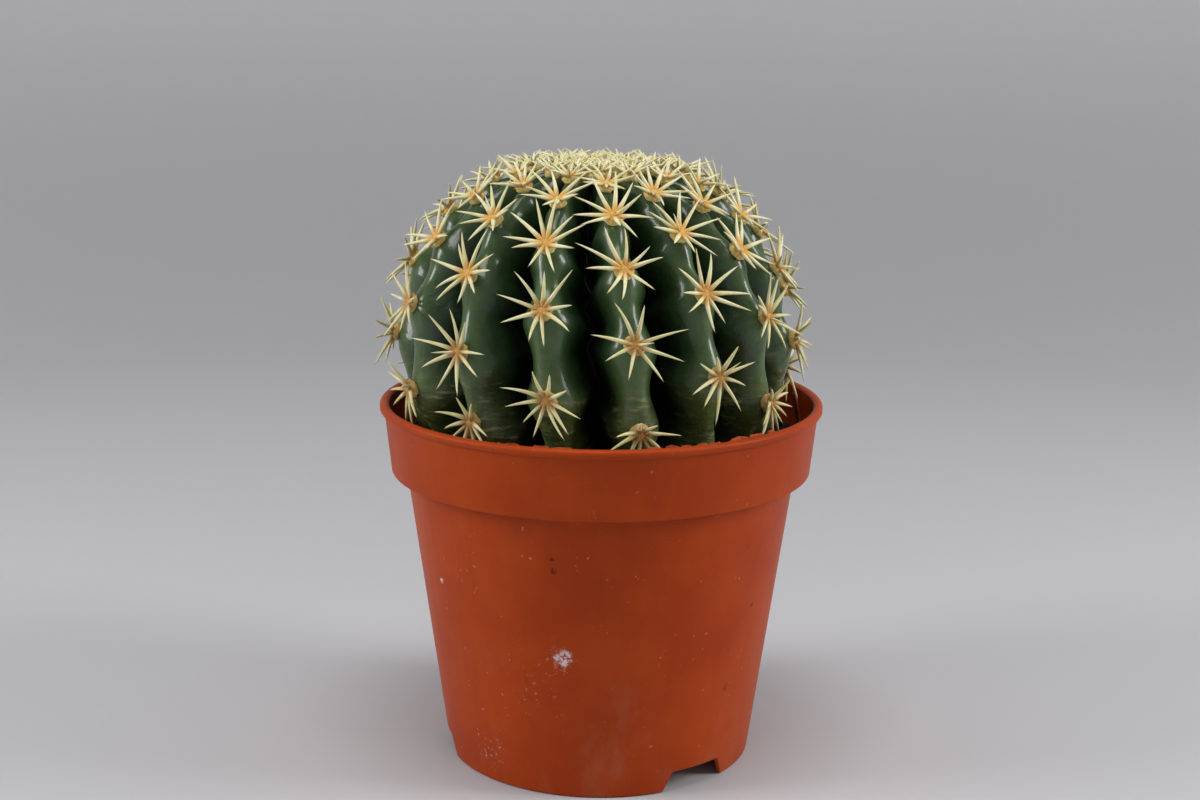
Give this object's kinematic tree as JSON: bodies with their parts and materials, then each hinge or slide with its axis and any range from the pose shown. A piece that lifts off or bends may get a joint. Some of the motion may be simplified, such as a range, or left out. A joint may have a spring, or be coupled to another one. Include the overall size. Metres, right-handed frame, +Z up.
{
  "type": "potted round cactus",
  "caption": "Round ribbed cactus with starry spine clusters and a woolly spiny crown, set in dark soil in a tapered orange plastic pot with a stepped rim band.",
  "frame": {"origin": "on the pot's axis at the height of the foot, within 1 mm of the middle of the bounding box's underside", "axes": "+Z up along the pot's axis; -Y is the front, the side seen in the reference; +X is to the right seen from the front"},
  "size_m": [0.1063, 0.1052, 0.1439],
  "materials": {
    "pot_plastic": "satin",
    "potting_soil": "matte",
    "stem_skin": "gloss",
    "crown_growth": "matte",
    "spines": "satin"
  },
  "bodies": {
    "root": {"cactus_stem": "stem_skin", "crown": "crown_growth", "pot": "pot_plastic", "soil": "potting_soil", "spines_rib01_1": "spines", "spines_rib01_2": "spines", "spines_rib01_3": "spines", "spines_rib01_4": "spines", "spines_rib02_1": "spines", "spines_rib02_2": "spines", "spines_rib02_3": "spines", "spines_rib03_1": "spines", "spines_rib03_2": "spines", "spines_rib03_3": "spines", "spines_rib03_4": "spines", "spines_rib04_1": "spines", "spines_rib04_2": "spines", "spines_rib04_3": "spines", "spines_rib05_1": "spines", "spines_rib05_2": "spines", "spines_rib05_3": "spines", "spines_rib05_4": "spines", "spines_rib06_1": "spines", "spines_rib06_2": "spines", "spines_rib06_3": "spines", "spines_rib07_1": "spines", "spines_rib07_2": "spines", "spines_rib07_3": "spines", "spines_rib07_4": "spines", "spines_rib08_1": "spines", "spines_rib08_2": "spines", "spines_rib08_3": "spines", "spines_rib09_1": "spines", "spines_rib09_2": "spines", "spines_rib09_3": "spines", "spines_rib09_4": "spines", "spines_rib10_1": "spines", "spines_rib10_2": "spines", "spines_rib10_3": "spines", "spines_rib11_1": "spines", "spines_rib11_2": "spines", "spines_rib11_3": "spines", "spines_rib11_4": "spines", "spines_rib12_1": "spines", "spines_rib12_2": "spines", "spines_rib12_3": "spines", "spines_rib13_1": "spines", "spines_rib13_2": "spines", "spines_rib13_3": "spines", "spines_rib13_4": "spines", "spines_rib14_1": "spines", "spines_rib14_2": "spines", "spines_rib14_3": "spines", "spines_rib14_4": "spines", "spines_rib15_1": "spines", "spines_rib15_2": "spines", "spines_rib15_3": "spines"}
  },
  "joints": []
}
